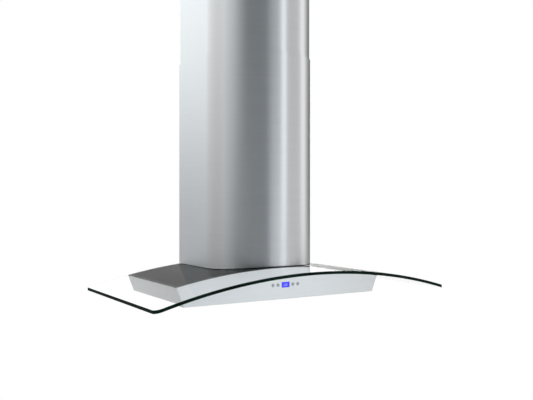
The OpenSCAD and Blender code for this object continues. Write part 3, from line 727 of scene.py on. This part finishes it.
class HOOD_OT_body(bpy.types.Operator):
    """Folds the body's shell and cuts the holes for the controls"""

    bl_idname = "hood.body"
    bl_label = "Body shell"

    def execute(self, context):
        s = sizes()
        arch_top = s.arch_radius - s.glass_thickness / 2 - s.glass_seat
        top_z = GLASS_HIGH.z
        lean = math.tan(s.side_lean) * (top_z - SHELL_LOW.z)
        half = body_half_width()
        shell = box(
            "body_shell",
            (-half, SHELL_LOW.y, SHELL_LOW.z),
            (half, SHELL_HIGH.y, top_z),
        )
        for side in (-1, 1):
            edit(shell, "VERT", lambda c, n: c.z > top_z - NEAR and c.x * side > 0)
            bpy.ops.transform.translate(value=(side * lean, 0, 0))
            close_edit()
        edit(shell, "FACE", lambda c, n: n.z > 0.9 or n.y > 0.9)
        bpy.ops.mesh.delete(type="FACE")
        close_edit()
        edit(shell, "FACE", lambda c, n: n.z < -0.9)
        bpy.ops.mesh.inset(thickness=s.body_rim, use_boundary=False)
        bpy.ops.mesh.delete(type="FACE")
        close_edit()
        edit(
            shell,
            "EDGE",
            lambda c, d: (c.z < SHELL_LOW.z + NEAR and abs(abs(c.x) - half) < NEAR)
            or (c.z < SHELL_LOW.z + NEAR and c.y < SHELL_LOW.y + NEAR)
            or (abs(d.z) > 0.8 and c.y < SHELL_LOW.y + NEAR),
        )
        bevel(s.body_bend, 5)
        close_edit()
        modify(shell, "SOLIDIFY", thickness=s.body_sheet, offset=-1, use_even_offset=True)
        cut(shell, arch_cylinder(arch_top), "INTERSECT")
        wall = SHELL_LOW.y
        turn = (math.pi / 2, 0, 0)
        for node in BUTTONS:
            low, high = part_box(node)
            centre = (low + high) / 2
            radius = (high.x - low.x) / 2 + s.button_gap
            place = (centre.x, wall, centre.z)
            cut(shell, rod("hole", place, radius, 2 * s.wall_reach, turn, 48))
        reach = Vector((s.window_gap, s.wall_reach, s.window_gap))
        cut(shell, box("window_hole", WINDOW_LOW - reach, WINDOW_HIGH + reach))
        steel = brushed_stainless("brushed_stainless_body", "Z", (7, 7, 330))
        finish(shell, "hood", steel, "stainless", "canopy_shell")
        return {"FINISHED"}


def body_half_width():
    """Half the body's width at its lower edge, from its width where the arch meets it."""
    s = sizes()
    radius = s.arch_radius - s.glass_thickness / 2 - s.glass_seat
    axis_z = GLASS_HIGH.z - s.glass_thickness / 2 - s.arch_radius
    meet_z = axis_z + math.sqrt(radius**2 - SHELL_HIGH.x**2)
    return SHELL_HIGH.x - math.tan(s.side_lean) * (meet_z - SHELL_LOW.z)


# --- Controls ---------------------------------------------------------------------


class HOOD_OT_controls(bpy.types.Operator):
    """Models the display and the four round buttons"""

    bl_idname = "hood.controls"
    bl_label = "Display and buttons"

    def execute(self, context):
        s = sizes()
        metal = turned_metal("satin_aluminium", context.scene.hood_colours.button, 0.38)
        turn = (math.pi / 2, 0, 0)
        for node in BUTTONS:
            low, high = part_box(node)
            centre = (low + high) / 2
            radius = (high.x - low.x) / 2
            cap = s.button_cap
            button = rod(
                node + "_cap", (centre.x, low.y + cap / 2, centre.z), radius, cap, turn, 48
            )
            edit(button, "FACE", lambda c, n: n.y > 0.9)
            bpy.ops.mesh.inset(thickness=radius - s.button_stem)
            extrude((0, high.y - low.y - cap, 0))
            close_edit()
            edit(button, "EDGE", lambda c, d: c.y < low.y + NEAR)
            bevel(s.button_edge, 4)
            close_edit()
            edit(button, "FACE", lambda c, n: n.y < -0.99)
            bpy.ops.mesh.inset(thickness=s.button_edge)
            extrude((0, s.button_dish, 0))
            bpy.ops.transform.resize(value=(0.86, 1, 0.86), center_override=tuple(centre))
            close_edit()
            finish(button, node + "_body", metal, "button_metal", node)
        middle = (WINDOW_LOW + WINDOW_HIGH) / 2
        window = box("display", WINDOW_LOW, WINDOW_HIGH)
        edit(window, "EDGE", lambda c, d: c.y < WINDOW_LOW.y + NEAR or abs(d.y) > 0.9)
        bevel(s.window_edge, 2)
        close_edit()
        edit(window, "FACE", lambda c, n: n.y < -0.99)
        bpy.ops.mesh.inset(thickness=s.window_rim)
        extrude((0, s.window_step, 0))
        close_edit()
        bright_part = (0.011, 0.02, 0.007)
        glow = backlit_display(tuple(middle), bright_part)
        finish(window, "hood", glow, "display_cover", "display_window")
        lit = surface(
            "lit_segments",
            Base_Color=linear("#8f98f8"),
            Emission_Color=linear("#8f98f8"),
            Emission_Strength=0.5,
            Roughness=0.3,
        )[0]
        face_y = WINDOW_LOW.y + s.window_step
        for i in range(4):
            x = middle.x + (i - 1.5) * s.bar_pitch
            tall = s.bar_short + s.bar_rise * i
            foot = middle.z - s.bar_foot
            bar = box(
                f"level_bar_{i + 1}",
                (x - s.bar_width / 2, face_y - s.bar_proud, foot),
                (x + s.bar_width / 2, face_y + s.bar_proud, foot + tall),
            )
            edit(bar, "EDGE", lambda c, d: abs(d.y) > 0.9)
            bevel(s.bar_edge, 2)
            close_edit()
            select_only(bar)
            bar.data.materials.append(lit)
            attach(bar, "hood")
        return {"FINISHED"}


# --- Underside --------------------------------------------------------------------


class HOOD_OT_lamps(bpy.types.Operator):
    """Turns the two lamp rings and moulds their ringed lenses"""

    bl_idname = "hood.lamps"
    bl_label = "Lamps"

    def execute(self, context):
        s = sizes()
        ring_low, ring_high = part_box("lamp_bezels")
        lens_low, lens_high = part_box("lamp_lenses")
        radius = (ring_high.y - ring_low.y) / 2
        lens_r = (lens_high.y - lens_low.y) / 2
        y = (ring_low.y + ring_high.y) / 2
        metal = turned_metal("turned_lamp_ring", "#d9dcde", 0.22)
        frosted = frosted_lens()
        for side, word in ((-1, "left"), (1, "right")):
            x = side * (ring_high.x - radius)
            ring = rod(
                f"lamp_ring_{word}",
                (x, y, (ring_low.z + ring_high.z) / 2),
                radius,
                ring_high.z - ring_low.z,
            )
            cut(ring, rod("inside", (x, y, ring_low.z), lens_r + s.lens_gap, 2 * PAST))
            edit(ring, "EDGE", lambda c, d: c.z < ring_low.z + NEAR)
            bevel(s.lamp_edge, 3)
            close_edit()
            lens = rod(
                f"lamp_lens_{word}",
                (x, y, (lens_low.z + lens_high.z) / 2),
                lens_r,
                lens_high.z - lens_low.z,
            )
            edit(lens, "FACE", lambda c, n: n.z < -0.9)
            for i in range(6):
                bpy.ops.mesh.inset(thickness=s.lens_ring / 2)
                extrude((0, 0, s.lens_relief if i % 2 == 0 else -s.lens_relief))
            close_edit()
            nodes = (("lamp_bezels",), ("lamp_lenses",)) if side < 0 else ((), ())
            finish(ring, "hood", metal, "bright_metal", *nodes[0])
            finish(lens, "hood", frosted, "lamp_lens", *nodes[1])
        return {"FINISHED"}


class HOOD_OT_knobs(bpy.types.Operator):
    """Turns the knobs of the two baffle filters"""

    bl_idname = "hood.knobs"
    bl_label = "Filter knobs"

    def execute(self, context):
        s = sizes()
        metal = turned_metal("turned_stainless", "#cfd2d4", 0.25)
        for word in ("left", "right"):
            node = f"filter_{word}_knob"
            low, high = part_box(node)
            centre = (low + high) / 2
            radius = (high.x - low.x) / 2
            head = s.knob_head
            knob = rod(
                node + "_turned", (centre.x, centre.y, low.z + head / 2), radius, head, sides=64
            )
            edit(knob, "FACE", lambda c, n: n.z > 0.9)
            bpy.ops.mesh.inset(thickness=radius - s.knob_stem)
            extrude((0, 0, high.z - low.z - head))
            close_edit()
            edit(
                knob,
                "EDGE",
                lambda c, d: abs(d.z) < 0.1
                and math.hypot(c.x - centre.x, c.y - centre.y) > radius * 0.98,
            )
            bevel(s.knob_edge, 4)
            close_edit()
            edit(knob, "FACE", lambda c, n: n.z < -0.99)
            bpy.ops.mesh.inset(thickness=s.knob_rim)
            extrude((0, 0, s.knob_dish))
            close_edit()
            finish(knob, f"filter_{word}", metal, "bright_metal", node)
        return {"FINISHED"}


# --- Finishes of the parts that keep their shape ------------------------------------


class HOOD_OT_finishes(bpy.types.Operator):
    """Gives the other parts the materials they are made of"""

    bl_idname = "hood.finishes"
    bl_label = "Other finishes"

    def execute(self, context):
        zinc, plated, epdm = galvanised(), zinc_plated(), rubber()
        black = moulded("black_abs", tint("black_plastic"), 0.5)
        upright = brushed_stainless("brushed_stainless_panel", "Z", (7, 7, 330))
        flat = brushed_stainless("brushed_stainless_underside", "Y", (7, 330, 330))
        channels = brushed_stainless("brushed_stainless_filter", "X", (330, 7, 330))
        bright = turned_metal("bright_steel_rod", "#cdd0d2", 0.18)
        finishes = {
            "ceiling_bracket": zinc,
            "bracket_bolts": plated,
            "upper_posts": zinc,
            "upper_ties": zinc,
            "upper_cover_back": upright,
            "upper_cover_screws": plated,
            "lower_posts": zinc,
            "lower_ties": zinc,
            "clamp_screws": plated,
            "lower_cover_back": upright,
            "lower_cover_screws": plated,
            "cover_clips": zinc,
            "glass_gasket": epdm,
            "glass_bushes": epdm,
            "glass_screws": plated,
            "canopy_back": upright,
            "canopy_top": stoved_enamel(),
            "bottom_panel": flat,
            "support_plate": zinc,
            "control_housing": black,
            "control_board": circuit_board(),
            "tact_switches": black,
            "lcd_module": black,
            "control_cable": epdm,
            "cable_grommet": epdm,
            "blower_box": zinc,
            "volute": zinc,
            "motor": hammered_paint(),
            "motor_bracket": zinc,
            "outlet_collar": black,
            "damper_rod": bright,
            "junction_box": moulded("grey_polycarbonate", tint("grey_plastic"), 0.45),
            "junction_box_lid": moulded("grey_polycarbonate_lid", tint("grey_plastic"), 0.4),
            "cable_gland": black,
            "capacitor": moulded("white_polypropylene", tint("capacitor"), 0.4),
            "lamp_housings": black,
            "filter_catches": plated,
            "impeller": zinc,
            "motor_shaft": bright,
            "damper_left": black,
            "damper_right": black,
            "filter_left_frame": flat,
            "filter_right_frame": flat,
            "filter_left_baffles": channels,
            "filter_right_baffles": channels,
        }
        for name, material in finishes.items():
            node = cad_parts[name]
            for slot in node.material_slots:
                slot.material = material
        return {"FINISHED"}


# --- Studio -----------------------------------------------------------------------


def studio_world():
    """A soft studio: lit panels at the right and right behind, darker room in front.

    The brightness seen in a reflection depends on the direction it comes from.
    Azimuth 0 is towards the back and 90 towards the right.
    """
    world = bpy.data.worlds.new("soft_studio")
    world.use_nodes = True
    tree = world.node_tree
    tree.nodes.clear()
    place = add(tree, "ShaderNodeTexCoord")
    way = add(tree, "ShaderNodeSeparateXYZ", {"Vector": place.outputs["Generated"]})
    turn = add(
        tree,
        "ShaderNodeMath",
        {0: way.outputs["X"], 1: way.outputs["Y"]},
        operation="ARCTAN2",
    )
    around = add(
        tree,
        "ShaderNodeMapRange",
        {"Value": turn.outputs["Value"], "From Min": -math.pi, "From Max": math.pi},
    ).outputs["Result"]
    rise = add(tree, "ShaderNodeMath", {0: way.outputs["Z"]}, operation="ARCSINE")
    upward = add(
        tree,
        "ShaderNodeMapRange",
        {"Value": rise.outputs["Value"], "From Min": -math.pi / 2, "From Max": math.pi / 2},
    ).outputs["Result"]

    def ring(stops):
        ramp = add(tree, "ShaderNodeValToRGB", {"Fac": around})
        fill_ramp(ramp, [((a + 180) / 360, float(v)) for a, v in stops])
        return ramp.outputs["Color"]

    def column(stops):
        ramp = add(tree, "ShaderNodeValToRGB", {"Fac": upward})
        fill_ramp(ramp, [((a + 90) / 180, float(v)) for a, v in stops])
        return ramp.outputs["Color"]

    # Brightness at eye level, then how it changes with height at the sides and in front
    level = ring(
        [
            (-180, 0.27),
            (-136, 0.26),
            (-125, 0.24),
            (-117, 0.34),
            (-104, 0.42),
            (-94, 0.5),
            (-79, 0.46),
            (-64, 0.47),
            (-44, 0.53),
            (-22, 0.66),
            (5, 0.62),
            (14, 0.44),
            (27, 0.41),
            (33, 3.6),
            (40, 3.6),
            (44, 0.24),
            (62, 0.26),
            (77, 0.7),
            (86, 1.45),
            (97, 1.35),
            (104, 0.74),
            (137, 0.72),
            (141.5, 1.75),
            (147.5, 1.6),
            (152.5, 0.5),
            (162, 0.47),
            (171, 0.43),
            (180, 0.27),
        ]
    )
    # Below the horizon the panels end, so the body's front wall mirrors an even floor
    floor_level = ring(
        [
            (-180, 0.3),
            (-120, 0.35),
            (-104, 0.45),
            (-44, 0.6),
            (-22, 0.8),
            (10, 0.8),
            (46, 0.6),
            (62, 0.4),
            (110, 0.75),
            (137, 0.74),
            (143, 0.76),
            (150, 1.28),
            (165, 1.05),
            (172, 0.8),
            (180, 0.3),
        ]
    )
    below = column([(-90, 1.0), (-6.2, 1.0), (-4.7, 0.0), (90, 0.0)])
    side = column(
        [(-90, 1.3), (-30, 1.2), (-17, 0.75), (-8, 0.55), (0, 0.8), (6, 1.6), (12, 2.7), (90, 3.2)]
    )
    front = column(
        [(-90, 1.7), (-25, 1.5), (-8, 1.2), (-4.6, 1.15), (-3, 0.98), (0, 0.95), (90, 1.2)]
    )
    in_front = ring([(-140, 1.0), (-125, 0.0), (30, 0.0), (34, 1.0)])
    cool, fair, plain = linear("#e9f1f6"), linear("#f3f7fa"), linear("#f8f8f7")
    cast = add(tree, "ShaderNodeValToRGB", {"Fac": around})
    hues = ((-180, cool), (-104, fair), (-84, plain), (-40, plain), (-26, fair), (5, plain))
    hues += ((130, plain), (142, fair), (180, cool))
    fill_ramp(cast, [((a + 180) / 360, hue) for a, hue in hues])

    def times(first, second):
        return add(
            tree,
            "ShaderNodeMix",
            {"Factor": 1.0, 6: first, 7: second},
            data_type="RGBA",
            blend_type="MULTIPLY",
        ).outputs[2]

    height = shade(tree, in_front, side, front)
    all_round = shade(tree, below, level, floor_level)
    seen = times(times(all_round, height), cast.outputs["Color"])
    studio = add(tree, "ShaderNodeBackground", {"Color": seen, "Strength": 1.0})
    backdrop = add(tree, "ShaderNodeBackground", {"Color": (1, 1, 1, 1), "Strength": 1.0})
    # The backdrop is white where it is seen straight or only through glass
    ray = add(tree, "ShaderNodeLightPath")
    direct = ray.outputs["Is Camera Ray"]
    through = ray.outputs["Is Transmission Ray"]
    white = add(tree, "ShaderNodeMath", {0: direct, 1: through}, operation="MAXIMUM")
    bounced = add(
        tree,
        "ShaderNodeMath",
        {0: ray.outputs["Glossy Depth"], 1: ray.outputs["Diffuse Depth"]},
        operation="ADD",
    )
    unbounced = add(
        tree, "ShaderNodeMath", {0: bounced.outputs["Value"], 1: 0.5}, operation="LESS_THAN"
    )
    shown = add(
        tree,
        "ShaderNodeMath",
        {0: white.outputs["Value"], 1: unbounced.outputs["Value"]},
        operation="MULTIPLY",
    )
    either = add(
        tree,
        "ShaderNodeMixShader",
        {0: shown.outputs["Value"], 1: studio.outputs[0], 2: backdrop.outputs[0]},
    )
    add(tree, "ShaderNodeOutputWorld", {"Surface": either.outputs[0]})
    return world


class HOOD_OT_studio(bpy.types.Operator):
    """Sets up the pale floor, the soft light and the camera"""

    bl_idname = "hood.studio"
    bl_label = "Studio"

    def execute(self, context):
        scene = context.scene
        s = scene.hood_studio
        scene.world = studio_world()
        scene.view_settings.view_transform = "Standard"
        floor = sheet(
            "studio_floor", s.floor_reach, s.floor_reach, (0, 0, -s.floor_drop), (0, 0, 0)
        )
        floor.data.materials.append(
            surface("pale_floor", Base_Color=linear("#eeeeec"), Roughness=0.9)[0]
        )
        camera = bpy.data.objects.new("camera", bpy.data.cameras.new("camera"))
        scene.collection.objects.link(camera)
        camera.location = s.camera_place
        camera.rotation_euler = (math.pi / 2, 0, -s.camera_turn)
        camera.data.sensor_width = 36
        camera.data.lens = s.camera_lens
        scene.camera = camera
        return {"FINISHED"}


class HOOD_PT_range_hood(bpy.types.Panel):
    bl_idname = "HOOD_PT_range_hood"
    bl_label = "Range hood"
    bl_space_type = "VIEW_3D"
    bl_region_type = "UI"
    bl_category = "Range hood"

    def draw(self, context):
        layout = self.layout
        for group in ("hood_sizes", "hood_colours", "hood_studio"):
            column = layout.column(align=True)
            settings = getattr(context.scene, group)
            for name in settings.__annotations__:
                column.prop(settings, name)
        for operator in OPERATORS:
            layout.operator(operator.bl_idname)


GROUPS = {
    "hood_sizes": HoodSizes,
    "hood_colours": HoodColours,
    "hood_studio": StudioSettings,
}
OPERATORS = (
    HOOD_OT_glass,
    HOOD_OT_chimney,
    HOOD_OT_body,
    HOOD_OT_controls,
    HOOD_OT_lamps,
    HOOD_OT_knobs,
    HOOD_OT_finishes,
    HOOD_OT_studio,
)


def register():
    for made in (*GROUPS.values(), *OPERATORS, HOOD_PT_range_hood):
        bpy.utils.register_class(made)
    for name, group in GROUPS.items():
        setattr(bpy.types.Scene, name, bpy.props.PointerProperty(type=group))


def unregister():
    for name in GROUPS:
        delattr(bpy.types.Scene, name)
    for made in reversed((*GROUPS.values(), *OPERATORS, HOOD_PT_range_hood)):
        bpy.utils.unregister_class(made)


def main():
    register()
    bpy.ops.hood.glass()
    bpy.ops.hood.chimney()
    bpy.ops.hood.body()
    bpy.ops.hood.controls()
    bpy.ops.hood.lamps()
    bpy.ops.hood.knobs()
    bpy.ops.hood.finishes()
    bpy.ops.hood.studio()


if __name__ == "__main__":
    main()
